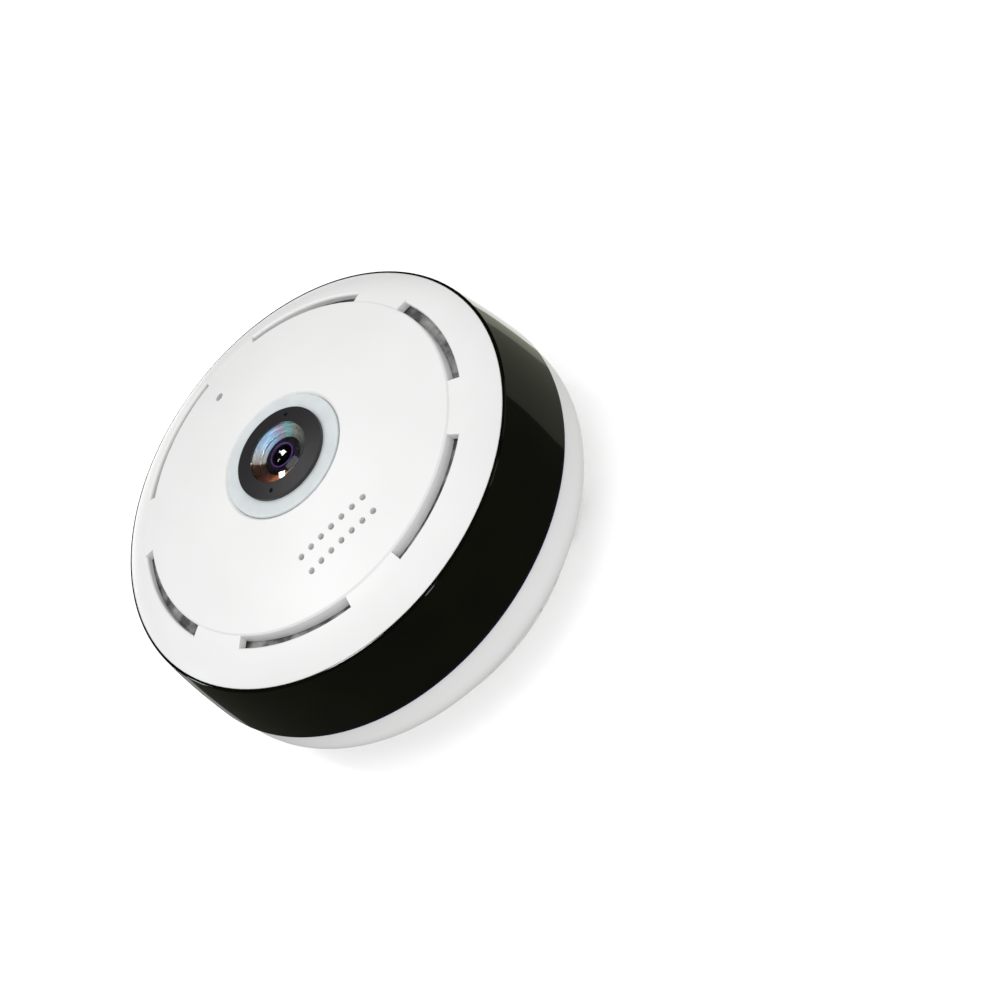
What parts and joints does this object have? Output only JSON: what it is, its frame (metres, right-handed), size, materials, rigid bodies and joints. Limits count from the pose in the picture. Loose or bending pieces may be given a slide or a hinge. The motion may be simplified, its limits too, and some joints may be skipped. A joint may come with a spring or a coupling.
{
  "type": "dome security camera",
  "caption": "Round ceiling camera with a fisheye lens in a slotted white cover, a gloss black side band, a vented housing and a twist-off mounting plate.",
  "frame": {"origin": "centre of the mounting plate's underside, the face that lies against the ceiling or a table", "axes": "+Z along the optical axis, out of the lens; -Y towards the cable notch in the housing's rim; +X to the right when the notch faces the viewer and the lens is up"},
  "size_m": [0.11, 0.11, 0.0589],
  "materials": {
    "white_plastic": "satin",
    "band_plastic": "gloss",
    "black_plastic": "matte",
    "bezel_plastic": "satin",
    "frosted_plastic": "frosted",
    "lens_glass": "polished",
    "filter_glass": "polished",
    "circuit_board": "satin",
    "chip_epoxy": "matte",
    "connector_plastic": "matte",
    "lamp_epoxy": "gloss",
    "steel": "brushed",
    "shield_steel": "brushed",
    "sink_aluminium": "satin",
    "coil_copper": "enamelled",
    "magnet_steel": "plated",
    "soft_rubber": "matte",
    "cone_paper": "matte",
    "gasket_foam": "matte",
    "red_wire": "satin",
    "black_wire": "satin",
    "ribbon_plastic": "satin",
    "antenna_film": "satin",
    "can_aluminium": "satin"
  },
  "bodies": {
    "mounting_plate": {"mounting_plate": "white_plastic"},
    "filter_slide": {"filter_carrier": "black_plastic", "infrared_filter": "filter_glass", "clear_filter": "filter_glass", "filter_magnet": "magnet_steel"},
    "reset_button": {"reset_button": "white_plastic", "reset_plunger": "chip_epoxy"},
    "camera_head": {"lower_housing": "white_plastic", "top_cover": "white_plastic", "side_band": "band_plastic", "status_light_ring": "frosted_plastic", "status_light_board": "circuit_board", "status_lights": "lamp_epoxy", "dust_screen": "black_plastic", "lens_barrel": "bezel_plastic", "front_glass": "lens_glass", "aperture_ring": "black_plastic", "middle_lens": "lens_glass", "rear_lens": "lens_glass", "lens_spacer": "black_plastic", "lens_lock_ring": "black_plastic", "lens_holder": "black_plastic", "lens_holder_screws": "steel", "filter_coil": "coil_copper", "camera_board": "circuit_board", "image_sensor": "chip_epoxy", "processor_chip": "chip_epoxy", "heat_sink": "sink_aluminium", "radio_module": "shield_steel", "microphone_connector": "connector_plastic", "inner_frame": "black_plastic", "infrared_board": "circuit_board", "infrared_lamps": "lamp_epoxy", "light_sensor": "lamp_epoxy", "speaker_frame": "black_plastic", "speaker_cone": "cone_paper", "speaker_magnet": "magnet_steel", "speaker_gasket": "gasket_foam", "microphone": "shield_steel", "microphone_boot": "soft_rubber", "base_board": "circuit_board", "power_socket": "shield_steel", "power_socket_tongue": "chip_epoxy", "card_socket": "shield_steel", "reset_switch": "chip_epoxy", "capacitors": "can_aluminium", "power_coil": "chip_epoxy", "ribbon_connectors": "connector_plastic", "wire_connector": "connector_plastic", "ribbon_cable": "ribbon_plastic", "radio_antenna": "antenna_film", "antenna_cable": "black_wire", "housing_screws": "steel", "speaker_wires": "red_wire", "microphone_wires": "black_wire", "camera_board_screws": "steel", "base_board_screws": "steel"}
  },
  "joints": [
    {"name": "bayonet_twist", "type": "hinge", "parent": "mounting_plate", "child": "camera_head", "pos_m": [0, 0, 0], "axis": [0, 0, -1], "range_deg": [0, 15]},
    {"name": "filter_slide", "type": "slide", "parent": "camera_head", "child": "filter_slide", "axis": [1, 0, 0], "range_m": [0, 0.0072]},
    {"name": "reset_press", "type": "slide", "parent": "camera_head", "child": "reset_button", "axis": [0, 0, 1], "range_m": [0, 0.0005], "stiffness_N_per_m": 800, "springref_m": -0.0005}
  ]
}
